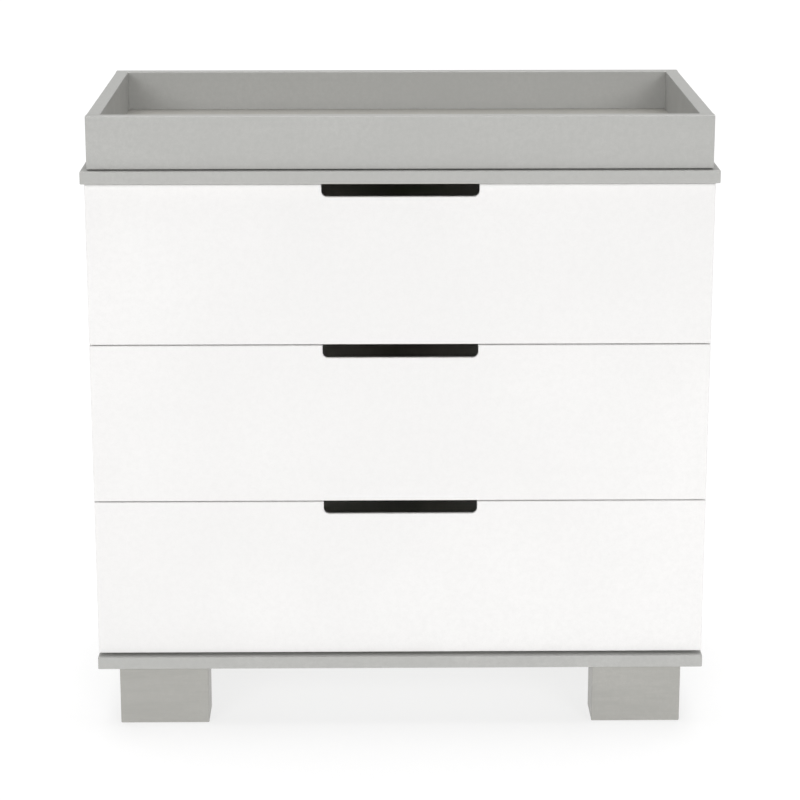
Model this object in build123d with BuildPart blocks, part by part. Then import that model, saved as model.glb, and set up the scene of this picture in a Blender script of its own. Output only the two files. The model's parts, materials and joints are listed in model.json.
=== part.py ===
from build123d import *
import os

# Changing table: a three-drawer dresser on block feet, with a changing tray that lifts off its top.
#
# Frame: +Z is up, -Y is the front that the drawers open towards, and +X is to the right as seen from the
# front. The origin is on the floor, in the middle of the box that holds the whole table. All sizes are in
# millimetres. Places along Y are worked out from the front edge of the top panel with behind(), and the
# left side mirrors the right one.

os.makedirs("parts", exist_ok=True)

# Overall sizes
TOP_WIDTH = 880
TOP_DEPTH = 457
BASE_WIDTH = 872
BODY_WIDTH = 870  # across the side panels, and the width of the drawer fronts
PANEL = 18  # thickness of the top, base, sides, rails and drawer fronts
EASE = 1.5  # radius of the eased, painted edges
FOOT_HEIGHT = 89  # floor to the underside of the base, glide included
OPENING_HEIGHT = 692  # base to top
TRAY_HEIGHT = 75  # top panel to the tray's rim
DRAWERS = ("lower", "middle", "upper")
CUT = 1  # how far a cutting block reaches beyond the face it opens

# Setbacks behind the front edge of the top panel
BASE_SETBACK = 2
FRONT_SETBACK = 10
TRAY_SETBACK = 7
FOOT_SETBACK = 12
FRONT_GAP = 1.5  # between two drawer fronts, and above the upper one
BASE_GAP = 4  # between the base and the lower drawer front
BUMPER_GAP = 2  # between a drawer front and the edge of the side panel
BUMPER_RADIUS = 4
BUMPER_DROP = 25  # below the upper edge of the drawer front

# Body
SIDE_REAR = 450
BACK_THICKNESS = 4
BACK_PANEL_AT = 439
BACK_GROOVE_DEPTH = 7
BACK_PLAY = 0.5  # between the back panel's edge and the bottom of its groove
REAR_RAIL_HEIGHT = 50
FRONT_RAIL_THICKNESS = 14
FRONT_RAIL_DEPTH = 60
FRONT_RAIL_DROP = 1.5  # how far a front rail reaches below the drawer front that hides it
CAM_INSET = 24
CAM_RADIUS = 7.4
CAM_SUNK = 0.2  # below the side panel's face
CAM_BOLT_RADIUS = 3.5
CAM_BOLT_HEAD = 6
CONFIRMAT_RADIUS = 3.5
CONFIRMAT_LENGTH = 50
CONFIRMAT_HEAD = 5
CONFIRMAT_HEAD_HEIGHT = 3
CONFIRMAT_SUNK = 0.2
HEX_SOCKET_RADIUS = 2.4
HEX_SOCKET_DEPTH = 2.2
BODY_FIXING_FROM_FRONT = (80, 400)
CAM_PIN_RADIUS = 2.5  # cam bolt's thin end, in the top panel
CAM_PIN_LENGTH = 11
CAM_DEPTH = 12.6
CAM_CROSS = (11, 1.8, 1.6)  # length, width and depth of the cross that turns a cam
CAM_BOLT_PLAY = 0.5

# Feet
FOOT_WIDTH = 128
FOOT_DEPTH = 62
FOOT_INSET = 30  # from the end of the base to the foot
FOOT_EASE = 1.6
REAR_FOOT_SETBACK = 10  # in front of the rear edge of the base
GLIDE_HEIGHT = 2
GLIDE_RADIUS = 14
GLIDE_SPREAD = 40
FOOT_SCREW_SPREAD = 35

# Drawers
NOTCH_WIDTH = 218
NOTCH_DEPTH = 18
NOTCH_RADIUS = 8
NOTCH_LIP = 5  # thickness left at the finger grip, in front of the bevel
BOX_LIFT = 16  # drawer front's lower edge to the underside of the box
BOX_HEIGHT = 160
BOX_BOARD = 12
BOX_LENGTH = 402
BOX_SIDE_SPACE = 13  # between the side panel and the box, where the slides are
BOTTOM_THICKNESS = 4
BOTTOM_LIFT = 9.8
BOTTOM_GROOVE = 6
FRONT_SCREWS_AT = (120, 330)  # either side of the middle
FRONT_SCREW_RISES = (40, 125)  # above the underside of the box
GROOVE_PLAY = 0.3  # between a board's edge and the bottom of its groove
FIT = 0.1  # clearance of a board in its groove and of a screw in its hole

# Roller slides
STEEL = 1.2
SLIDE_LENGTH = 400
SLIDE_SETBACK = 1  # of the drawer half, behind the drawer front
CABINET_SLIDE_SCREWS = (70, 210, 350)  # from the front end of the cabinet half
DRAWER_SLIDE_SCREWS = (45, 200, 350)  # from the front end of the drawer half
SLIDE_SCREW_RISE = 5  # above the underside of the box
SLIDE_FOOT_WIDTH = 11  # the drawer slide's flange under the box
FRONT_ROLLER_RADIUS = 10
REAR_ROLLER_RADIUS = 9
ROLLER_WIDTH = 6
ROLLER_CHAMFER = 0.6
ROLLER_HOLES = 6
ROLLER_HOLE_RADIUS = 1.1
ROLLER_END = 12  # from a slide's end to its roller's axle
ROLLER_RISE = 10.8  # underside of the box to the roller axles
ROLLING_GAP = 0.05  # between a roller and what it rolls on, and round its axle
AXLE_RADIUS = 3
AXLE_HEAD_RADIUS = 4.5
AXLE_HEAD = 0.8
DRAWER_TRAVEL = 300
CHANNEL_HEIGHT = 23.6
CHANNEL_DEPTH = 9.5
FLANGE_WIDTH = 6.8  # the drawer slide's running flange, beyond its web
ROLLER_SPACE = 0.8  # between a slide's web and its roller
AXLE_SPACE = 0.2  # between a roller and its axle's head
FLANGE_SETBACK = 4  # of the channel's flanges, behind the front roller
STOP_HEIGHT = 3
STOP_LENGTH = 4
STOP_TO_AXLE = 7  # from the stop to the rear axle of the fully open drawer

# Changing tray
TRAY_WIDTH = 862
TRAY_WALL = 19
TRAY_FLOOR = 6
TRAY_FLOOR_TOP = 16  # above the lower edge of the walls
TRAY_GROOVE = 6
TRAY_EASE = 1.5
TRAY_OVERHANG = 0.5  # of the tray's rear beyond the top panel's, so that its plates clear the edge
FELT = 1.5
FELT_RADIUS = 7
FELT_INSET = 40
PLATE = 2
PLATE_PLAY = 0.3  # between a tray plate and the head of its catch screw
PLATE_WIDTH = 26
PLATE_EASE = 4
SLOT_PLAY = 0.5
PLATE_AT = 300
PLATE_FOOT = 3  # above the top panel's lower face
PLATE_RISE = 50  # above the top panel's upper face
PLATE_SCREWS_ABOVE_TOP = (27, 41)

# Small hardware. A screw is its shank's radius, its head's radius and its head's height
SLIDE_SCREW = (1.5, 3, 1)
SMALL_SCREW = (1.75, 3.5, 1.5)
LARGE_SCREW = (2, 4.5, 2.2)
SLIDE_SCREW_LENGTH = 9
SMALL_SCREW_LENGTH = 13.5
BRACKET_SCREW_LENGTH = 15.5
FRONT_SCREW_LENGTH = 23.5
TRAY_SCREW_LENGTH = 16
CATCH_SCREW_LENGTH = 21
CROSS_LENGTH = 1.1  # the cross cut in a screw's head, as a share of the head's radius or height
CROSS_WIDTH = 0.22
CROSS_DEPTH = 0.6
SCREW_TIP_SPACE = 0.5  # left free at the bottom of a blind hole
BRACKET_AT = 250
BRACKET_WIDTH = 14
BRACKET_HEIGHT = 26
BRACKET_REACH = 16
BRACKET_SCREW_SPREAD = 8
EYE_HEIGHT = 16
EYE_EASE = 5
EYE_HOLE_RADIUS = 3
EYE_HOLE_INSET = 6.5

# Heights worked out from the sizes above
base_bottom = FOOT_HEIGHT
base_top = base_bottom + PANEL
top_bottom = base_top + OPENING_HEIGHT
top_top = top_bottom + PANEL
tray_bottom = top_top + FELT
tray_rim = top_top + TRAY_HEIGHT
front_height = (OPENING_HEIGHT - BASE_GAP) / len(DRAWERS) - FRONT_GAP
front_bottoms = {
    name: base_top + BASE_GAP + i * (front_height + FRONT_GAP) for i, name in enumerate(DRAWERS)
}

# Places across the table, on the right side
side_outer = BODY_WIDTH / 2
side_inner = side_outer - PANEL
side_middle = side_outer - PANEL / 2
box_outer = side_inner - BOX_SIDE_SPACE
box_inner = box_outer - BOX_BOARD


# Depth of the whole table: behind the top panel there are the tray's plates and the heads of their screws
overall_depth = TOP_DEPTH + TRAY_OVERHANG + PLATE + PLATE_PLAY + LARGE_SCREW[2]


def behind(distance):
    """Y of a place that far behind the front edge of the top panel."""
    return distance - overall_depth / 2


side_front = behind(FRONT_SETBACK + PANEL + BUMPER_GAP)
front_face = behind(FRONT_SETBACK)
front_back = front_face + PANEL
box_rear = front_back + BOX_LENGTH
top_rear = behind(TOP_DEPTH)
tray_rear = top_rear + TRAY_OVERHANG
cabinet_slide_front = side_front
drawer_slide_front = front_back + SLIDE_SETBACK


def write(builder, label):
    """Names a finished piece and writes it as its own STEP file."""
    builder.part.label = label
    export_step(builder.part, f"parts/{label}.step")


def block(x0, x1, y0, y1, z0, z1, mode=Mode.ADD):
    """A plain board between two corners, drawn on the plane of its underside and extruded upwards."""
    with BuildSketch(Plane.XY.offset(z0)) as outline:
        with Locations(((x0 + x1) / 2, (y0 + y1) / 2)):
            Rectangle(abs(x1 - x0), abs(y1 - y0))
    extrude(outline.sketch, amount=z1 - z0, mode=mode)


def rod(plane, radius, length, mode=Mode.ADD):
    """A round bar that stands on a plane, or lies behind it where its length is negative."""
    with BuildSketch(plane) as outline:
        Circle(radius)
    extrude(outline.sketch, amount=length, mode=mode)


def screw(plane, length, sizes):
    """A pan-head screw: its head stands on the plane, its shank goes in behind, and a cross is cut in it."""
    radius, head_radius, head_height = sizes
    rod(plane, radius, -length)
    rod(plane, head_radius, head_height)
    with BuildSketch(plane.offset(head_height)) as recess:
        for turn in (0, 90):
            Rectangle(head_radius * CROSS_LENGTH, head_radius * CROSS_WIDTH, rotation=turn)
    extrude(recess.sketch, amount=-head_height * CROSS_DEPTH, mode=Mode.SUBTRACT)


def screw_hole(plane, sizes, depth):
    rod(plane, sizes[0] + FIT, -depth, Mode.SUBTRACT)


def across(x, y, z, direction=-1):
    """A plane square to X, facing the middle of the table from the right side unless told otherwise."""
    return Plane(origin=(x, y, z), x_dir=(0, 1, 0), z_dir=(direction, 0, 0))


def rearward(x, y, z):
    """A plane square to Y that faces the rear."""
    return Plane(origin=(x, y, z), x_dir=(-1, 0, 0), z_dir=(0, 1, 0))


def upward(x, y, z):
    return Plane(origin=(x, y, z))


def downward(x, y, z):
    return Plane(origin=(x, y, z), x_dir=(1, 0, 0), z_dir=(0, 0, -1))


body_fixings = [behind(distance) for distance in BODY_FIXING_FROM_FRONT]
foot_x = BASE_WIDTH / 2 - FOOT_INSET - FOOT_WIDTH / 2
foot_y = {
    "front": behind(FOOT_SETBACK) + FOOT_DEPTH / 2,
    "rear": behind(TOP_DEPTH - BASE_SETBACK - REAR_FOOT_SETBACK) - FOOT_DEPTH / 2,
}
foot_screws = [
    (side * foot_x + offset, y)
    for side in (-1, 1)
    for y in foot_y.values()
    for offset in (-FOOT_SCREW_SPREAD, FOOT_SCREW_SPREAD)
]
side_screws = [(side * side_middle, y) for side in (-1, 1) for y in body_fixings]
slide_screws = [cabinet_slide_front + distance for distance in CABINET_SLIDE_SCREWS]
drawer_screws = [drawer_slide_front + distance for distance in DRAWER_SLIDE_SCREWS]
bracket_middle = top_bottom - REAR_RAIL_HEIGHT / 2
bracket_screw_heights = [bracket_middle - BRACKET_SCREW_SPREAD, bracket_middle + BRACKET_SCREW_SPREAD]
plate_screw_height = top_bottom + PANEL / 2


# Top panel, with blind holes for the cam bolts and for the two screws that catch the tray's plates
with BuildPart() as top_panel:
    block(-TOP_WIDTH / 2, TOP_WIDTH / 2, behind(0), top_rear, top_bottom, top_top)
    fillet(top_panel.edges(), EASE)
    for x, y in side_screws:
        rod(upward(x, y, top_bottom), CAM_PIN_RADIUS + FIT, CAM_PIN_LENGTH + SCREW_TIP_SPACE, Mode.SUBTRACT)
    for x in (-PLATE_AT, PLATE_AT):
        screw_hole(rearward(x, top_rear, plate_screw_height), LARGE_SCREW, CATCH_SCREW_LENGTH)
write(top_panel, "top_panel")

# Base panel, drilled from above for the screws into the feet and from below for those into the sides
with BuildPart() as base_panel:
    block(
        -BASE_WIDTH / 2, BASE_WIDTH / 2, behind(BASE_SETBACK), behind(TOP_DEPTH - BASE_SETBACK),
        base_bottom, base_top,
    )
    fillet(base_panel.edges(), EASE)
    for x, y in foot_screws:
        rod(upward(x, y, base_top), CONFIRMAT_RADIUS + FIT, -PANEL, Mode.SUBTRACT)
        rod(upward(x, y, base_top), CONFIRMAT_HEAD + FIT, -CONFIRMAT_HEAD_HEIGHT, Mode.SUBTRACT)
    for x, y in side_screws:
        rod(downward(x, y, base_bottom), CONFIRMAT_RADIUS + FIT, -PANEL, Mode.SUBTRACT)
        rod(downward(x, y, base_bottom), CONFIRMAT_HEAD + FIT, -CONFIRMAT_HEAD_HEIGHT, Mode.SUBTRACT)
write(base_panel, "base_panel")

# Side panels: grooved for the back panel, drilled for cams, cam bolts, base screws and slide screws
for side, name in ((-1, "left"), (1, "right")):
    with BuildPart() as side_panel:
        block(side * side_inner, side * side_outer, side_front, behind(SIDE_REAR), base_top, top_bottom)
        fillet(side_panel.edges().filter_by(Axis.Z), EASE)
        groove_bottom = side * (side_inner + BACK_GROOVE_DEPTH)
        block(
            side * (side_inner - CUT), groove_bottom,
            behind(BACK_PANEL_AT - FIT), behind(BACK_PANEL_AT + BACK_THICKNESS + FIT),
            base_top, top_bottom, Mode.SUBTRACT,
        )
        for y in body_fixings:
            x = side * side_middle
            rod(upward(x, y, base_top), CONFIRMAT_RADIUS + FIT, CONFIRMAT_LENGTH - PANEL, Mode.SUBTRACT)
            bolt_hole_depth = CAM_INSET + CAM_BOLT_HEAD
            rod(downward(x, y, top_bottom), CAM_BOLT_RADIUS + CAM_BOLT_PLAY, bolt_hole_depth, Mode.SUBTRACT)
            cam_face = across(side * side_inner, y, top_bottom - CAM_INSET, -side)
            rod(cam_face, CAM_RADIUS + FIT, -CAM_DEPTH - SCREW_TIP_SPACE, Mode.SUBTRACT)
        for bottom in front_bottoms.values():
            for y in slide_screws:
                face = across(side * side_inner, y, bottom + BOX_LIFT + ROLLER_RISE, -side)
                screw_hole(face, SMALL_SCREW, SMALL_SCREW_LENGTH)
    write(side_panel, f"side_panel_{name}")

# Back panel, held in the grooves of the sides and drilled for the bracket screws
with BuildPart() as back_panel:
    back_edge = side_inner + BACK_GROOVE_DEPTH - BACK_PLAY
    back_rear = behind(BACK_PANEL_AT + BACK_THICKNESS)
    block(-back_edge, back_edge, behind(BACK_PANEL_AT), back_rear, base_top, top_bottom)
    for x in (-BRACKET_AT, BRACKET_AT):
        for z in bracket_screw_heights:
            screw_hole(rearward(x, back_rear, z), SMALL_SCREW, BACK_THICKNESS)
write(back_panel, "back_panel")

# Rear rail under the top, which the wall brackets are screwed into
with BuildPart() as rear_rail:
    rail_rear = behind(BACK_PANEL_AT)
    block(-side_inner, side_inner, rail_rear - PANEL, rail_rear, top_bottom - REAR_RAIL_HEIGHT, top_bottom)
    for x in (-BRACKET_AT, BRACKET_AT):
        for z in bracket_screw_heights:
            screw_hole(rearward(x, rail_rear, z), SMALL_SCREW, BRACKET_SCREW_LENGTH - BACK_THICKNESS)
write(rear_rail, "rear_rail")

# Front rails, one hidden behind the lower edge of each of the two higher drawer fronts
with BuildPart() as front_rails:
    for name in ("middle", "upper"):
        rail_bottom = front_bottoms[name] - FRONT_RAIL_DROP
        block(
            -side_inner, side_inner, side_front, side_front + FRONT_RAIL_DEPTH,
            rail_bottom, rail_bottom + FRONT_RAIL_THICKNESS,
        )
write(front_rails, "front_rails")

# Block feet, each drilled for two screws
for end, y in foot_y.items():
    for side, name in ((-1, "left"), (1, "right")):
        with BuildPart() as foot:
            x = side * foot_x
            block(
                x - FOOT_WIDTH / 2, x + FOOT_WIDTH / 2, y - FOOT_DEPTH / 2, y + FOOT_DEPTH / 2,
                GLIDE_HEIGHT, base_bottom,
            )
            fillet(foot.edges().filter_by(Axis.Z) + foot.edges().group_by(Axis.Z)[0], FOOT_EASE)
            for offset in (-FOOT_SCREW_SPREAD, FOOT_SCREW_SPREAD):
                screw_depth = CONFIRMAT_LENGTH - PANEL
                hole = downward(x + offset, y, base_bottom - screw_depth)
                rod(hole, CONFIRMAT_RADIUS + FIT, -screw_depth, Mode.SUBTRACT)
        write(foot, f"foot_{end}_{name}")

# Felt glides, two under each foot
with BuildPart() as foot_glides:
    for y in foot_y.values():
        for x in (-foot_x, foot_x):
            for offset in (-GLIDE_SPREAD, GLIDE_SPREAD):
                rod(upward(x + offset, y, 0), GLIDE_RADIUS, GLIDE_HEIGHT)
write(foot_glides, "foot_glides")

# Base screws: down into the feet, and up into the ends of the side panels
with BuildPart() as base_screws:
    heads = [upward(x, y, base_top) for x, y in foot_screws]
    heads += [downward(x, y, base_bottom) for x, y in side_screws]
    for head in heads:
        head_face = head.offset(-CONFIRMAT_SUNK)
        rod(head, CONFIRMAT_RADIUS, SCREW_TIP_SPACE - CONFIRMAT_LENGTH)
        rod(head_face, CONFIRMAT_HEAD, CONFIRMAT_SUNK - CONFIRMAT_HEAD_HEIGHT)
        with BuildSketch(head_face) as socket:
            RegularPolygon(HEX_SOCKET_RADIUS, 6)
        above_head = head.offset(CUT)
        rod(above_head, CONFIRMAT_HEAD, -CUT - CONFIRMAT_SUNK, Mode.SUBTRACT)
        extrude(socket.sketch, amount=-HEX_SOCKET_DEPTH, mode=Mode.SUBTRACT)
write(base_screws, "base_screws")

# Cam locks in the side panels, each slotted for the head of its cam bolt
with BuildPart() as cam_locks:
    for y in body_fixings:
        face = across(side_inner + CAM_SUNK, y, top_bottom - CAM_INSET)
        rod(face, CAM_RADIUS, -CAM_DEPTH)
        cross_length, cross_width, cross_depth = CAM_CROSS
        with BuildSketch(face) as cross:
            for turn in (0, 90):
                Rectangle(cross_length, cross_width, rotation=turn)
        extrude(cross.sketch, amount=-cross_depth, mode=Mode.SUBTRACT)
        slot_top = downward(side_middle, y, top_bottom)
        rod(slot_top, CAM_BOLT_RADIUS + CAM_BOLT_PLAY, bolt_hole_depth - SCREW_TIP_SPACE, Mode.SUBTRACT)
    mirror(about=Plane.YZ)
write(cam_locks, "cam_locks")

# Cam bolts that hang from the top panel into the cams
with BuildPart() as cam_bolts:
    for x, y in side_screws:
        rod(upward(x, y, top_bottom), CAM_PIN_RADIUS, CAM_PIN_LENGTH)
        rod(downward(x, y, top_bottom), CAM_PIN_RADIUS, CAM_INSET)
        rod(downward(x, y, top_bottom - CAM_INSET + CAM_BOLT_HEAD / 2), CAM_BOLT_RADIUS, CAM_BOLT_HEAD)
write(cam_bolts, "cam_bolts")

# Cabinet halves of the roller slides: a channel on each side panel, an axle for the front roller and a
# raised stop that the drawer's rear roller meets when the drawer is fully open
channel_inner = side_inner - STEEL
channel_lip = side_inner - CHANNEL_DEPTH
front_axle_y = cabinet_slide_front + ROLLER_END
rear_axle_y = drawer_slide_front + SLIDE_LENGTH - ROLLER_END
front_roller_outer = channel_inner - ROLLER_SPACE
for name, bottom in front_bottoms.items():
    axle_z = bottom + BOX_LIFT + ROLLER_RISE
    track = axle_z - REAR_ROLLER_RADIUS - ROLLING_GAP
    channel_top = track - STEEL + CHANNEL_HEIGHT
    slide_rear = cabinet_slide_front + SLIDE_LENGTH
    flange_front = front_axle_y + FRONT_ROLLER_RADIUS + FLANGE_SETBACK
    with BuildPart() as cabinet_slides:
        block(channel_inner, side_inner, cabinet_slide_front, slide_rear, track - STEEL, channel_top)
        for z in (track - STEEL, channel_top - STEEL):
            block(channel_lip, side_inner, flange_front, slide_rear, z, z + STEEL)
        stop_rear = rear_axle_y - DRAWER_TRAVEL - STOP_TO_AXLE
        block(channel_lip, channel_inner, stop_rear - STOP_LENGTH, stop_rear, track, track + STOP_HEIGHT)
        axle_end = front_roller_outer - ROLLER_WIDTH - AXLE_SPACE
        rod(across(channel_inner, front_axle_y, axle_z), AXLE_RADIUS, channel_inner - axle_end)
        rod(across(axle_end, front_axle_y, axle_z), AXLE_HEAD_RADIUS, AXLE_HEAD)
        for y in slide_screws:
            screw_hole(across(channel_inner, y, axle_z), SMALL_SCREW, STEEL)
        mirror(about=Plane.YZ)
    write(cabinet_slides, f"{name}_cabinet_slides")

# Pan-head screws that hold the cabinet slides and the wall brackets
bracket_face = back_rear + PLATE
with BuildPart() as cabinet_screws:
    for bottom in front_bottoms.values():
        for y in slide_screws:
            head = across(channel_inner, y, bottom + BOX_LIFT + ROLLER_RISE)
            screw(head, SMALL_SCREW_LENGTH, SMALL_SCREW)
    for z in bracket_screw_heights:
        screw(rearward(BRACKET_AT, bracket_face, z), BRACKET_SCREW_LENGTH, SMALL_SCREW)
    mirror(about=Plane.YZ)
write(cabinet_screws, "cabinet_screws")

# Bumpers on the front edges of the side panels, which the drawer fronts close against
with BuildPart() as drawer_bumpers:
    for bottom in front_bottoms.values():
        for x in (-side_middle, side_middle):
            face = rearward(x, side_front, bottom + front_height - BUMPER_DROP)
            rod(face, BUMPER_RADIUS, FIT - BUMPER_GAP)
write(drawer_bumpers, "drawer_bumpers")

# Brackets for the straps that tie the table to a wall: a plate on the back panel and an eye that stands out
with BuildPart() as anti_tip_brackets:
    eye_outer = BRACKET_AT + BRACKET_WIDTH / 2
    eye_rear = bracket_face + BRACKET_REACH
    block(
        BRACKET_AT - BRACKET_WIDTH / 2, eye_outer, back_rear, bracket_face,
        bracket_middle - BRACKET_HEIGHT / 2, bracket_middle + BRACKET_HEIGHT / 2,
    )
    block(
        eye_outer - PLATE, eye_outer, back_rear, eye_rear,
        bracket_middle - EYE_HEIGHT / 2, bracket_middle + EYE_HEIGHT / 2,
    )
    eye_corners = anti_tip_brackets.edges().filter_by(Axis.X).group_by(Axis.Y)[-1]
    fillet(eye_corners, EYE_EASE)
    eye_hole = across(eye_outer, eye_rear - EYE_HOLE_INSET, bracket_middle, 1)
    rod(eye_hole, EYE_HOLE_RADIUS, -PLATE, Mode.SUBTRACT)
    for z in bracket_screw_heights:
        screw_hole(rearward(BRACKET_AT, bracket_face, z), SMALL_SCREW, PLATE)
    mirror(about=Plane.YZ)
write(anti_tip_brackets, "anti_tip_brackets")

# Screws in the top's rear edge that the slotted tray plates slip over
with BuildPart() as tray_catch_screws:
    for x in (-PLATE_AT, PLATE_AT):
        head = rearward(x, tray_rear + PLATE + PLATE_PLAY, plate_screw_height)
        screw(head, CATCH_SCREW_LENGTH, LARGE_SCREW)
write(tray_catch_screws, "tray_catch_screws")

# Tray walls: the front and back run the full width, and the sides stand between them
tray_outer = TRAY_WIDTH / 2
tray_inner = tray_outer - TRAY_WALL
tray_front = behind(TRAY_SETBACK)
tray_walls = {
    "tray_front_wall": (-tray_outer, tray_outer, tray_front, tray_front + TRAY_WALL),
    "tray_back_wall": (-tray_outer, tray_outer, tray_rear - TRAY_WALL, tray_rear),
    "tray_left_wall": (-tray_outer, -tray_inner, tray_front + TRAY_WALL, tray_rear - TRAY_WALL),
    "tray_right_wall": (tray_inner, tray_outer, tray_front + TRAY_WALL, tray_rear - TRAY_WALL),
}
floor_top = tray_bottom + TRAY_FLOOR_TOP
floor_bottom = floor_top - TRAY_FLOOR
for name, (x0, x1, y0, y1) in tray_walls.items():
    lengthwise = Axis.X if x1 - x0 > y1 - y0 else Axis.Y
    with BuildPart() as wall:
        block(x0, x1, y0, y1, tray_bottom, tray_rim)
        rounded = wall.edges().filter_by(lengthwise)
        if lengthwise == Axis.X:
            outer_y = 0 if name == "tray_front_wall" else -1
            rounded += wall.edges().filter_by(Axis.Z).group_by(Axis.Y)[outer_y]
        fillet(rounded, TRAY_EASE)
        block(
            -tray_inner - TRAY_GROOVE, tray_inner + TRAY_GROOVE,
            tray_front + TRAY_WALL - TRAY_GROOVE, tray_rear - TRAY_WALL + TRAY_GROOVE,
            floor_bottom - FIT, floor_top + FIT, Mode.SUBTRACT,
        )
        if name == "tray_back_wall":
            for x in (-PLATE_AT, PLATE_AT):
                for rise in PLATE_SCREWS_ABOVE_TOP:
                    hole = rearward(x, tray_rear, top_top + rise)
                    screw_hole(hole, LARGE_SCREW, TRAY_SCREW_LENGTH)
    write(wall, name)

# Tray floor, held in the grooves of the four walls
with BuildPart() as tray_floor:
    reach = TRAY_GROOVE - GROOVE_PLAY
    block(
        -tray_inner - reach, tray_inner + reach,
        tray_front + TRAY_WALL - reach, tray_rear - TRAY_WALL + reach, floor_bottom, floor_top,
    )
write(tray_floor, "tray_floor")

# Felt pads under the tray walls
with BuildPart() as tray_pads:
    for x in (FELT_INSET - tray_outer, 0, tray_outer - FELT_INSET):
        for y in (tray_front + TRAY_WALL / 2, tray_rear - TRAY_WALL / 2):
            rod(upward(x, y, top_top), FELT_RADIUS, FELT)
write(tray_pads, "tray_pads")

# Plates on the back of the tray, slotted from below so that the tray lifts off the catch screws
with BuildPart() as tray_plates:
    block(
        PLATE_AT - PLATE_WIDTH / 2, PLATE_AT + PLATE_WIDTH / 2, tray_rear, tray_rear + PLATE,
        top_bottom + PLATE_FOOT, top_top + PLATE_RISE,
    )
    fillet(tray_plates.edges().filter_by(Axis.Y), PLATE_EASE)
    slot_radius = LARGE_SCREW[0] + SLOT_PLAY
    slot_end = rearward(PLATE_AT, tray_rear + PLATE, plate_screw_height)
    rod(slot_end, slot_radius, -PLATE, Mode.SUBTRACT)
    with BuildSketch(slot_end) as slot:
        Rectangle(2 * slot_radius, PANEL, align=(Align.CENTER, Align.MAX))
    extrude(slot.sketch, amount=-PLATE, mode=Mode.SUBTRACT)
    for rise in PLATE_SCREWS_ABOVE_TOP:
        screw_hole(rearward(PLATE_AT, tray_rear + PLATE, top_top + rise), LARGE_SCREW, PLATE)
    mirror(about=Plane.YZ)
write(tray_plates, "tray_plates")

with BuildPart() as tray_screws:
    for x in (-PLATE_AT, PLATE_AT):
        for rise in PLATE_SCREWS_ABOVE_TOP:
            screw(rearward(x, tray_rear + PLATE, top_top + rise), TRAY_SCREW_LENGTH, LARGE_SCREW)
write(tray_screws, "tray_screws")


def roller(plane, radius):
    """A bored roller that stands on a plane, with chamfered rims and a ring of lightening holes."""
    rod(plane, radius, ROLLER_WIDTH)
    rims = [edge for edge in edges().filter_by(GeomType.CIRCLE) if edge.radius > radius - FIT]
    chamfer(rims, ROLLER_CHAMFER)
    rod(plane, AXLE_RADIUS + ROLLING_GAP, ROLLER_WIDTH, Mode.SUBTRACT)
    with BuildSketch(plane) as ring:
        with PolarLocations((radius + AXLE_RADIUS) / 2, ROLLER_HOLES):
            Circle(ROLLER_HOLE_RADIUS)
    extrude(ring.sketch, amount=ROLLER_WIDTH, mode=Mode.SUBTRACT)


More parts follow.
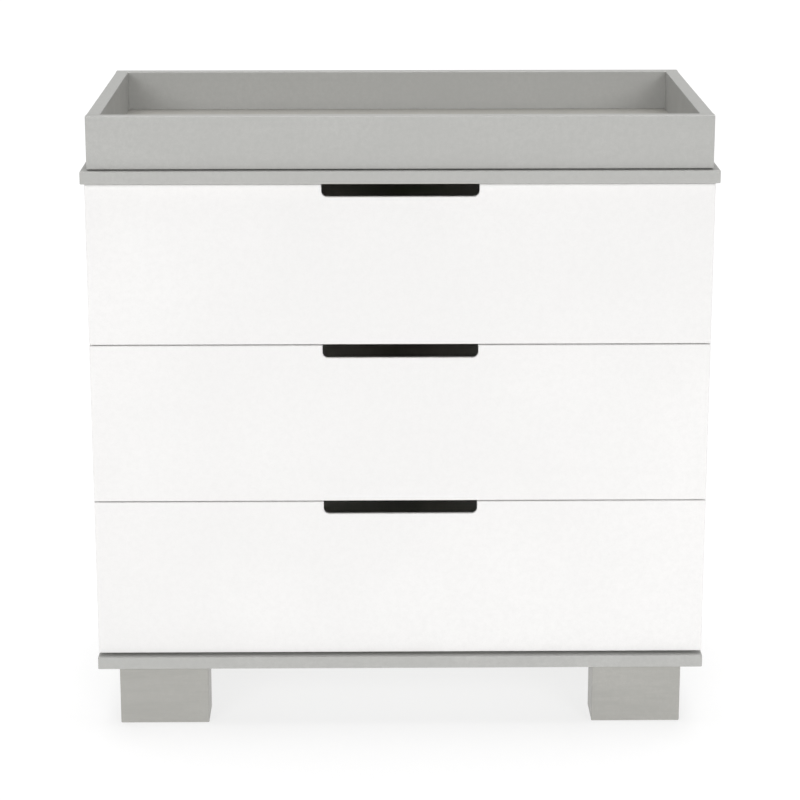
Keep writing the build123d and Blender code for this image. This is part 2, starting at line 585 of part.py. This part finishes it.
# The three drawers, with their halves of the slides
for name, bottom in front_bottoms.items():
    box_bottom = bottom + BOX_LIFT
    box_top = box_bottom + BOX_HEIGHT
    axle_z = box_bottom + ROLLER_RISE
    groove_low = box_bottom + BOTTOM_LIFT - FIT
    groove_high = box_bottom + BOTTOM_LIFT + BOTTOM_THICKNESS + FIT
    front_screws = [(x, box_bottom + rise) for x in FRONT_SCREWS_AT for rise in FRONT_SCREW_RISES]

    # Front panel: its finger notch is bevelled behind a thin lip, so that fingers hook over it
    with BuildPart() as front:
        notch_z = bottom + front_height - NOTCH_DEPTH
        with BuildSketch(Plane.XZ.offset(-front_face)):
            with Locations((0, bottom + front_height / 2)):
                Rectangle(BODY_WIDTH, front_height)
            with Locations((0, notch_z)):
                RectangleRounded(
                    NOTCH_WIDTH, 2 * NOTCH_DEPTH, NOTCH_RADIUS,
                    align=(Align.CENTER, Align.MIN), mode=Mode.SUBTRACT,
                )
        extrude(amount=-PANEL)
        fillet(front.faces().sort_by(Axis.Y)[0].edges(), EASE)
        rear_edges = front.faces().sort_by(Axis.Y)[-1].edges()
        notch_edges = rear_edges.filter_by(
            lambda edge: abs(edge.center().X) <= NOTCH_WIDTH / 2 and edge.center().Z > notch_z - FIT
        )
        chamfer(notch_edges, PANEL - NOTCH_LIP)
        hole_depth = FRONT_SCREW_LENGTH - BOX_BOARD + SCREW_TIP_SPACE
        for x, z in front_screws:
            for side in (-1, 1):
                screw_hole(rearward(side * x, front_back, z), LARGE_SCREW, hole_depth)
    write(front, f"{name}_drawer_front")

    for side, side_name in ((-1, "left"), (1, "right")):
        with BuildPart() as box_side:
            block(side * box_inner, side * box_outer, front_back, box_rear, box_bottom, box_top)
            fillet(box_side.edges().filter_by(Axis.Y).group_by(Axis.Z)[-1], EASE)
            block(
                side * (box_inner - CUT), side * (box_inner + BOTTOM_GROOVE), front_back, box_rear,
                groove_low, groove_high, Mode.SUBTRACT,
            )
            for y in drawer_screws:
                hole = across(side * box_outer, y, box_bottom + SLIDE_SCREW_RISE, side)
                screw_hole(hole, SLIDE_SCREW, SLIDE_SCREW_LENGTH)
        write(box_side, f"{name}_drawer_{side_name}_side")

    with BuildPart() as box_front:
        inner_face = front_back + BOX_BOARD
        block(-box_inner, box_inner, front_back, inner_face, box_bottom, box_top)
        fillet(box_front.edges().filter_by(Axis.X).group_by(Axis.Z)[-1].sort_by(Axis.Y)[-1], EASE)
        block(
            -box_inner, box_inner, inner_face - BOTTOM_GROOVE, inner_face + CUT,
            groove_low, groove_high, Mode.SUBTRACT,
        )
        for x, z in front_screws:
            for side in (-1, 1):
                screw_hole(rearward(side * x, inner_face, z), LARGE_SCREW, BOX_BOARD)
    write(box_front, f"{name}_drawer_box_front")

    with BuildPart() as box_back:
        back_bottom = box_bottom + BOTTOM_LIFT + BOTTOM_THICKNESS
        block(-box_inner, box_inner, box_rear - BOX_BOARD, box_rear, back_bottom, box_top)
        fillet(box_back.edges().filter_by(Axis.X).group_by(Axis.Z)[-1], EASE)
    write(box_back, f"{name}_drawer_box_back")

    with BuildPart() as box_floor:
        floor_edge = box_inner + BOTTOM_GROOVE - GROOVE_PLAY
        floor_front = inner_face - BOTTOM_GROOVE + GROOVE_PLAY
        floor_z = box_bottom + BOTTOM_LIFT
        block(-floor_edge, floor_edge, floor_front, box_rear, floor_z, floor_z + BOTTOM_THICKNESS)
    write(box_floor, f"{name}_drawer_bottom")

    # Drawer halves of the slides: a flange under the box, a web beside it, a running flange that rests on
    # the front roller, and an axle for the rear roller
    with BuildPart() as drawer_slides:
        web = box_outer + STEEL
        running = axle_z + FRONT_ROLLER_RADIUS + ROLLING_GAP
        slide_rear = drawer_slide_front + SLIDE_LENGTH
        block(box_outer, web, drawer_slide_front, slide_rear, box_bottom - STEEL, running + STEEL)
        foot_edge = box_outer - SLIDE_FOOT_WIDTH
        block(foot_edge, web, drawer_slide_front, slide_rear, box_bottom - STEEL, box_bottom)
        block(box_outer, web + FLANGE_WIDTH, drawer_slide_front, slide_rear, running, running + STEEL)
        rear_roller_inner = web + ROLLER_SPACE
        axle_end = rear_roller_inner + ROLLER_WIDTH + AXLE_SPACE
        rod(across(web, rear_axle_y, axle_z, 1), AXLE_RADIUS, axle_end - web)
        rod(across(axle_end, rear_axle_y, axle_z, 1), AXLE_HEAD_RADIUS, AXLE_HEAD)
        for y in drawer_screws:
            screw_hole(across(web, y, box_bottom + SLIDE_SCREW_RISE, 1), SLIDE_SCREW, STEEL)
        mirror(about=Plane.YZ)
    write(drawer_slides, f"{name}_drawer_slides")

    with BuildPart() as screws:
        for y in drawer_screws:
            screw(across(web, y, box_bottom + SLIDE_SCREW_RISE, 1), SLIDE_SCREW_LENGTH, SLIDE_SCREW)
        for x, z in front_screws:
            screw(rearward(x, inner_face, z), FRONT_SCREW_LENGTH, LARGE_SCREW)
        mirror(about=Plane.YZ)
    write(screws, f"{name}_drawer_screws")

    with BuildPart() as rear_rollers:
        roller(across(rear_roller_inner, rear_axle_y, axle_z, 1), REAR_ROLLER_RADIUS)
        mirror(about=Plane.YZ)
    write(rear_rollers, f"{name}_rear_rollers")

    with BuildPart() as front_rollers:
        roller(across(front_roller_outer, front_axle_y, axle_z), FRONT_ROLLER_RADIUS)
        mirror(about=Plane.YZ)
    write(front_rollers, f"{name}_front_rollers")
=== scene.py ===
import json
import math

import bpy
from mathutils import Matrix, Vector

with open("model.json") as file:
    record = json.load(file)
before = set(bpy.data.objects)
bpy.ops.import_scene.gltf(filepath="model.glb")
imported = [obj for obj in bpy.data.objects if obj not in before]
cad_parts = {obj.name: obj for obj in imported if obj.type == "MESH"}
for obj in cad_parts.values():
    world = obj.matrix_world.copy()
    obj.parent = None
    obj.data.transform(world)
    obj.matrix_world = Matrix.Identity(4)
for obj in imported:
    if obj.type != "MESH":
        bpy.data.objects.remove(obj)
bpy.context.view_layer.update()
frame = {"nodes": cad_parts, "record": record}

# Looks of a changing table: a three-drawer dresser with a lift-off changing tray.
# Metres throughout, in the CAD's own frame: +Z up, -Y the front, +X to the right as seen from the front.

nodes = frame["nodes"]
slots = {part["node"]: part["material_slot"] for part in frame["record"]["subparts"]}


# ---------------------------------------------------------------- node helpers


class Surface:
    """A material under construction, with short ways to add and join its nodes."""

    def __init__(self, name):
        self.material = bpy.data.materials.new(name)
        self.material.use_nodes = True
        self.tree = self.material.node_tree
        self.shader = self.tree.nodes["Principled BSDF"]
        self.position = self.add("ShaderNodeTexCoord").outputs["Object"]

    def add(self, kind, **settings):
        node = self.tree.nodes.new(kind)
        for key, value in settings.items():
            setattr(node, key, value)
        return node

    def join(self, source, target):
        self.tree.links.new(source, target)

    def set(self, **values):
        """Sets constant values on the shader's own sockets."""
        for key, value in values.items():
            self.shader.inputs[key.replace("_", " ")].default_value = value

    def stretched(self, scale):
        """The surface's coordinates, stretched by a factor along each axis."""
        mapping = self.add("ShaderNodeMapping")
        mapping.inputs["Scale"].default_value = scale
        self.join(self.position, mapping.inputs["Vector"])
        return mapping.outputs["Vector"]

    def noise(self, scale, detail=3.0, roughness=0.5, distortion=0.0, stretch=None):
        """Noise whose features are about 1 / scale metres across."""
        node = self.add("ShaderNodeTexNoise")
        node.inputs["Scale"].default_value = scale
        node.inputs["Detail"].default_value = detail
        node.inputs["Roughness"].default_value = roughness
        node.inputs["Distortion"].default_value = distortion
        self.join(self.stretched(stretch) if stretch else self.position, node.inputs["Vector"])
        return node.outputs["Fac"]

    def cells(self, scale):
        """Distance to the nearest of many scattered points, which are about 1 / scale metres apart."""
        node = self.add("ShaderNodeTexVoronoi")
        node.inputs["Scale"].default_value = scale
        self.join(self.position, node.inputs["Vector"])
        return node.outputs["Distance"]

    def ramp(self, value, stops):
        """Turns a value into a colour: stops are (place, colour) pairs."""
        node = self.add("ShaderNodeValToRGB")
        node.color_ramp.interpolation = "EASE"
        while len(node.color_ramp.elements) < len(stops):
            node.color_ramp.elements.new(0.5)
        for element, (place, colour) in zip(node.color_ramp.elements, stops):
            element.position = place
            element.color = (*colour, 1)
        self.join(value, node.inputs["Fac"])
        return node.outputs["Color"]

    def span(self, value, low, high, source=(0.3, 0.7)):
        """Maps a value's usual range onto low..high."""
        node = self.add("ShaderNodeMapRange")
        for socket, number in zip(("From Min", "From Max", "To Min", "To Max"), (*source, low, high)):
            node.inputs[socket].default_value = number
        self.join(value, node.inputs["Value"])
        return node.outputs["Result"]

    def math(self, operation, a, b):
        """A sum, product or other join of two values, either of which may be a plain number."""
        node = self.add("ShaderNodeMath", operation=operation)
        for socket, value in zip(node.inputs, (a, b)):
            if isinstance(value, (int, float)):
                socket.default_value = value
            else:
                self.join(value, socket)
        return node.outputs["Value"]

    def mix(self, amount, first, second):
        """Blends two colours; an amount or a colour may be a constant."""
        node = self.add("ShaderNodeMix", data_type="RGBA")
        for socket, value in ((node.inputs[0], amount), (node.inputs[6], first), (node.inputs[7], second)):
            if isinstance(value, (int, float)):
                socket.default_value = value
            elif isinstance(value, tuple):
                socket.default_value = (*value, 1)
            else:
                self.join(value, socket)
        return node.outputs[2]

    def bump(self, height, strength, distance, below=None):
        """Relief on the surface; distance is the height's full size in metres."""
        node = self.add("ShaderNodeBump")
        node.inputs["Strength"].default_value = strength
        node.inputs["Distance"].default_value = distance
        self.join(height, node.inputs["Height"])
        if below is not None:
            self.join(below, node.inputs["Normal"])
        self.join(node.outputs["Normal"], self.shader.inputs["Normal"])
        return node.outputs["Normal"]

    def edges(self, radius):
        """High within a radius of a sharp edge, where it lightens the paint: mostly a painted highlight on
        the eased rim, partly worn, polished paint.
        """
        rounded = self.add("ShaderNodeBevel", samples=6)
        rounded.inputs["Radius"].default_value = radius
        flat = self.add("ShaderNodeNewGeometry").outputs["True Normal"]
        agreement = self.add("ShaderNodeVectorMath", operation="DOT_PRODUCT")
        self.join(rounded.outputs["Normal"], agreement.inputs[0])
        self.join(flat, agreement.inputs[1])
        return self.span(agreement.outputs["Value"], 1.0, 0.0, source=(0.75, 0.98))


def linear(red, green, blue):
    """A display colour, 0 to 255, as the linear colour that shaders take."""
    channels = [c / 255 for c in (red, green, blue)]
    return tuple(c / 12.92 if c <= 0.04045 else ((c + 0.055) / 1.055) ** 2.4 for c in channels)


def shade(colour, factor):
    return tuple(min(1.0, c * factor) for c in colour)


# ---------------------------------------------------------------- materials

WHITE = linear(242, 241, 240)
GREY = linear(186, 186, 183)
FOOT_GREY = linear(177, 176, 171)
TRAY_FLOOR_GREY = linear(166, 164, 158)
BOARD = linear(232, 230, 224)
HARDBOARD = linear(226, 224, 218)
STEEL_WHITE = linear(228, 228, 225)


def painted_board(name, colour, grain=0.0, along="x", mottle=0.5, roughness=0.36):
    """Sprayed satin paint over board: clouds, orange peel, dust nibs and, where grain is set, streaks."""
    surface = Surface(name)
    drift = surface.noise(2.1, detail=2)
    cloud = surface.noise(11, detail=4, roughness=0.6)
    patch = surface.noise(130, detail=3, roughness=0.6)
    speck = surface.noise(420, detail=2)
    base = surface.ramp(drift, [(0.3, shade(colour, 0.965)), (0.7, shade(colour, 1.02))])
    base = surface.mix(surface.span(cloud, 0.0, mottle), base, shade(colour, 0.95 - mottle * 0.04))
    base = surface.mix(surface.span(patch, 0.0, mottle, source=(0.38, 0.66)), base, shade(colour, 0.9))
    base = surface.mix(surface.span(speck, 0.0, mottle, source=(0.45, 0.75)), base, shade(colour, 0.9))
    if grain:
        lengthwise = (0.1, 1.0, 1.0) if along == "x" else (1.0, 0.1, 1.0)
        streak = surface.noise(70, detail=5, roughness=0.62, distortion=0.25, stretch=lengthwise)
        fibre = surface.noise(260, detail=3, roughness=0.6, stretch=lengthwise)
        both = surface.math("MULTIPLY", surface.span(streak, 0, 1), surface.span(fibre, 0.4, 1))
        base = surface.mix(surface.math("MULTIPLY", both, grain), base, shade(colour, 0.8))
    # Paint lightened along each sharp edge: a painted highlight on the eased rims, and partly worn paint.
    base = surface.mix(surface.math("MULTIPLY", surface.edges(0.002), 0.5), base, shade(colour, 1.18))
    surface.join(base, surface.shader.inputs["Base Color"])
    gloss = surface.math("ADD", surface.span(cloud, roughness - 0.04, roughness + 0.06),
                         surface.span(speck, -0.02, 0.03))
    surface.join(gloss, surface.shader.inputs["Roughness"])
    surface.set(Specular_IOR_Level=0.42, Coat_Weight=0.12, Coat_Roughness=0.28)
    peel = surface.noise(330, detail=2, roughness=0.45)
    waviness = surface.noise(34, detail=2)
    level = surface.bump(waviness, 0.25, 0.0006)
    level = surface.bump(peel, 0.2, 0.00025, below=level)
    nibs = surface.span(surface.cells(95), 1.0, 0.0, source=(0.0, 0.09))
    surface.bump(nibs, 0.12, 0.0002, below=level)
    return surface.material


def melamine_board(name, colour, roughness=0.5):
    """Printed melamine with a fine pearl texture, slightly uneven and dusty."""
    surface = Surface(name)
    cloud = surface.noise(7, detail=4, roughness=0.6)
    pearl = surface.cells(620)
    base = surface.ramp(cloud, [(0.3, shade(colour, 0.95)), (0.7, colour)])
    base = surface.mix(surface.span(pearl, 0.35, 0.0, source=(0.0, 0.45)), base, shade(colour, 0.9))
    scuff = surface.noise(60, detail=6, roughness=0.75, stretch=(0.3, 1.0, 2.2))
    base = surface.mix(surface.span(scuff, 0.0, 0.5, source=(0.62, 0.8)), base, shade(colour, 0.86))
    surface.join(base, surface.shader.inputs["Base Color"])
    surface.join(surface.span(cloud, roughness - 0.05, roughness + 0.08), surface.shader.inputs["Roughness"])
    surface.set(Specular_IOR_Level=0.4)
    level = surface.bump(pearl, 0.22, 0.00022)
    surface.bump(surface.noise(90, detail=3), 0.12, 0.0003, below=level)
    return surface.material


def hardboard(name, colour):
    """Thin fibreboard, lacquered white on one face: short matted fibres and faint flecks."""
    surface = Surface(name)
    fibres = surface.noise(520, detail=4, roughness=0.7, distortion=1.2)
    flecks = surface.noise(150, detail=5, roughness=0.75, distortion=0.8)
    cloud = surface.noise(5, detail=3)
    base = surface.ramp(cloud, [(0.3, shade(colour, 0.985)), (0.7, shade(colour, 1.01))])
    base = surface.mix(surface.span(flecks, 0.0, 0.55, source=(0.5, 0.74)), base, shade(colour, 0.88))
    base = surface.mix(surface.span(fibres, 0.0, 0.35, source=(0.45, 0.7)), base, shade(colour, 0.9))
    surface.join(base, surface.shader.inputs["Base Color"])
    surface.join(surface.span(flecks, 0.56, 0.7), surface.shader.inputs["Roughness"])
    surface.set(Specular_IOR_Level=0.3)
    level = surface.bump(fibres, 0.3, 0.0003)
    surface.bump(flecks, 0.2, 0.0004, below=level)
    return surface.material


def powder_coat(name, colour):
    """Epoxy powder coat on pressed steel: tight texture, and grey wear where the rollers run."""
    surface = Surface(name)
    cloud = surface.noise(14, detail=3)
    texture = surface.noise(900, detail=2)
    rub = surface.noise(240, detail=5, roughness=0.75, stretch=(1.0, 0.06, 1.0))
    base = surface.ramp(cloud, [(0.3, shade(colour, 0.93)), (0.7, colour)])
    base = surface.mix(surface.span(rub, 0.0, 0.7, source=(0.58, 0.78)), base, shade(colour, 0.62))
    surface.join(base, surface.shader.inputs["Base Color"])
    surface.join(surface.span(rub, 0.38, 0.24), surface.shader.inputs["Roughness"])
    surface.set(Specular_IOR_Level=0.5, Coat_Weight=0.1)
    surface.bump(texture, 0.25, 0.00012)
    return surface.material


def zinc(name, colour, roughness, cast=False):
    """Zinc: plated steel with drawn marks and a faint passivation tint, or a sandy casting."""
    surface = Surface(name)
    tint = surface.noise(210, detail=3)
    if cast:
        marks = surface.noise(1500, detail=4, roughness=0.7)
    else:
        marks = surface.noise(1300, detail=4, roughness=0.7, stretch=(1.0, 1.0, 0.12))
    base = surface.ramp(tint, [(0.25, shade(colour, 0.82)), (0.5, colour), (0.75, linear(206, 205, 188))])
    base = surface.mix(surface.span(marks, 0.0, 0.6, source=(0.5, 0.75)), base, shade(colour, 0.6))
    surface.join(base, surface.shader.inputs["Base Color"])
    surface.join(surface.span(marks, roughness - 0.08, roughness + 0.12), surface.shader.inputs["Roughness"])
    surface.set(Metallic=1.0)
    surface.bump(marks, 0.3 if cast else 0.15, 0.00012)
    return surface.material


def moulded_nylon(name, colour):
    surface = Surface(name)
    cloud = surface.noise(300, detail=3)
    base = surface.ramp(cloud, [(0.3, shade(colour, 0.9)), (0.7, colour)])
    dust = surface.noise(1100, detail=5, roughness=0.7)
    base = surface.mix(surface.span(dust, 0.0, 0.5, source=(0.55, 0.75)), base, shade(colour, 0.6))
    surface.join(base, surface.shader.inputs["Base Color"])
    surface.join(surface.span(dust, 0.32, 0.5), surface.shader.inputs["Roughness"])
    surface.set(Subsurface_Weight=0.12, Subsurface_Scale=0.002)
    surface.bump(dust, 0.1, 0.0001)
    return surface.material


def felt(name, colour):
    """Needled felt: matted fibres, darker between them, with a soft sheen."""
    surface = Surface(name)
    fibres = surface.noise(1700, detail=6, roughness=0.8, distortion=1.6)
    tufts = surface.cells(480)
    base = surface.ramp(fibres, [(0.35, shade(colour, 0.45)), (0.65, shade(colour, 1.5))])
    base = surface.mix(surface.span(tufts, 0.5, 0.0, source=(0.0, 0.6)), base, shade(colour, 0.6))
    surface.join(base, surface.shader.inputs["Base Color"])
    surface.join(surface.span(fibres, 0.85, 1.0), surface.shader.inputs["Roughness"])
    surface.set(Sheen_Weight=0.5, Sheen_Roughness=0.5, Specular_IOR_Level=0.2)
    level = surface.bump(fibres, 0.6, 0.0006)
    surface.bump(tufts, 0.4, 0.0005, below=level)
    return surface.material


def rubber_dot(name, colour):
    surface = Surface(name)
    cloud = surface.noise(800, detail=3)
    base = surface.ramp(cloud, [(0.3, shade(colour, 0.85)), (0.7, colour)])
    surface.join(base, surface.shader.inputs["Base Color"])
    surface.join(surface.span(cloud, 0.15, 0.3), surface.shader.inputs["Roughness"])
    surface.set(Transmission_Weight=0.55, IOR=1.45)
    surface.bump(cloud, 0.05, 0.0001)
    return surface.material


finishes = {
    "white_paint": painted_board("white satin paint", WHITE, mottle=0.25),
    "grey_paint": painted_board("grey satin paint", GREY, grain=0.18, mottle=0.8, roughness=0.4),
    "white_board": melamine_board("white board", BOARD),
    "white_hardboard": hardboard("white hardboard", HARDBOARD),
    "box_board": melamine_board("drawer box board", BOARD),
    "coated_steel": powder_coat("powder-coated steel", STEEL_WHITE),
    "zinc_plated_steel": zinc("zinc-plated steel", linear(196, 198, 201), 0.32),
    "cast_zinc": zinc("cast zinc", linear(176, 177, 178), 0.5, cast=True),
    "nylon": moulded_nylon("nylon", linear(231, 231, 226)),
    "felt": felt("felt", linear(96, 94, 91)),
    "clear_rubber": rubber_dot("clear rubber", linear(226, 226, 222)),
}

# The tray's thin floor and the solid feet take the same paint differently: more grain shows through
tray_floor_paint = painted_board(
    "grey paint on veneer", TRAY_FLOOR_GREY, grain=0.5, along="y", roughness=0.45)
foot_paint = painted_board("grey paint on solid wood", FOOT_GREY, grain=0.8, mottle=0.9, roughness=0.42)
feet = [name for name in nodes if name.startswith("foot_") and name != "foot_glides"]
own_finishes = {"tray_floor": tray_floor_paint, **dict.fromkeys(feet, foot_paint)}

for name, node in nodes.items():
    node.data.materials.clear()
    node.data.materials.append(own_finishes.get(name, finishes[slots[name]]))


# ---------------------------------------------------------------- floor

FLOOR_HALF = 14.0  # from the middle to each edge
FLOOR_DROP = 0.0002  # below the felt glides, so that the two faces don't coincide
FLOOR_GLOW = 0.72  # brightness given off by the floor itself, where white is 1
FLOOR_DARK, FLOOR_LIGHT = linear(147, 147, 147), linear(150, 150, 150)


def make_floor():
    """A plain pale studio floor that glows a little, as a light table does, so that shadows stay faint."""
    mesh = bpy.data.meshes.new("studio_floor")
    signs = ((-1, -1), (1, -1), (1, 1), (-1, 1))
    corners = [(FLOOR_HALF * x, FLOOR_HALF * y, -FLOOR_DROP) for x, y in signs]
    mesh.from_pydata(corners, [], [(0, 1, 2, 3)])
    floor = bpy.data.objects.new("studio_floor", mesh)
    bpy.context.scene.collection.objects.link(floor)
    surface = Surface("studio floor paint")
    cloud = surface.noise(1.4, detail=3)
    tone = surface.ramp(cloud, [(0.2, FLOOR_DARK), (0.8, FLOOR_LIGHT)])
    surface.join(tone, surface.shader.inputs["Base Color"])
    surface.set(Roughness=0.9, Specular_IOR_Level=0.05, Emission_Strength=FLOOR_GLOW)
    surface.set(Emission_Color=(1.0, 1.0, 1.0, 1.0))
    mesh.materials.append(surface.material)


make_floor()


# ---------------------------------------------------------------- light


def sky_panel(name, azimuth, elevation, spread, strength):
    """A broad soft light from far away: azimuth 0 is the front, 90 the right; angles are in degrees."""
    light = bpy.data.lights.new(name, "SUN")
    light.angle = math.radians(spread)
    light.energy = strength * math.pi
    lamp = bpy.data.objects.new(name, light)
    turn, rise = math.radians(azimuth), math.radians(elevation)
    source = Vector((math.sin(turn) * math.cos(rise), -math.cos(turn) * math.cos(rise), math.sin(rise)))
    lamp.rotation_euler = source.to_track_quat("Z", "Y").to_euler()
    bpy.context.scene.collection.objects.link(lamp)


for side, azimuth in (("left", -24), ("right", 24)):
    sky_panel(f"front_{side}_light", azimuth, elevation=20, spread=24, strength=0.25)
sky_panel("overhead_light", azimuth=180, elevation=74, spread=60, strength=0.8)


def white_studio(seen, cast):
    """A backdrop that is plain white where it is seen, and lights the object more softly than that."""
    world = bpy.data.worlds.new("white studio")
    world.use_nodes = True
    tree = world.node_tree
    backdrop = tree.nodes["Background"]
    backdrop.inputs["Color"].default_value = (1, 1, 1, 1)
    strength = tree.nodes.new("ShaderNodeMapRange")
    strength.inputs["To Min"].default_value = cast
    strength.inputs["To Max"].default_value = seen
    tree.links.new(tree.nodes.new("ShaderNodeLightPath").outputs["Is Camera Ray"], strength.inputs["Value"])
    tree.links.new(strength.outputs["Result"], backdrop.inputs["Strength"])
    bpy.context.scene.world = world


white_studio(seen=1.0, cast=0.24)
bpy.context.scene.view_settings.view_transform = "Standard"


# ---------------------------------------------------------------- camera

LENS = 112.15  # millimetres, as is the sensor
SENSOR = 36
SHIFT = -0.06  # of the picture's width; keeps the table in the middle of the picture
CAMERA_PLACE = (-0.0395, -3.6, 1.43)
LOOKING_DOWN = 0.2524  # radians below level
LOOKING_RIGHT = 0.0115  # radians from straight ahead

camera_data = bpy.data.cameras.new("camera")
camera_data.lens = LENS
camera_data.sensor_width = SENSOR
camera_data.shift_y = SHIFT
camera = bpy.data.objects.new("camera", camera_data)
camera.location = CAMERA_PLACE
camera.rotation_euler = (math.pi / 2 - LOOKING_DOWN, 0, -LOOKING_RIGHT)
bpy.context.scene.collection.objects.link(camera)
bpy.context.scene.camera = camera
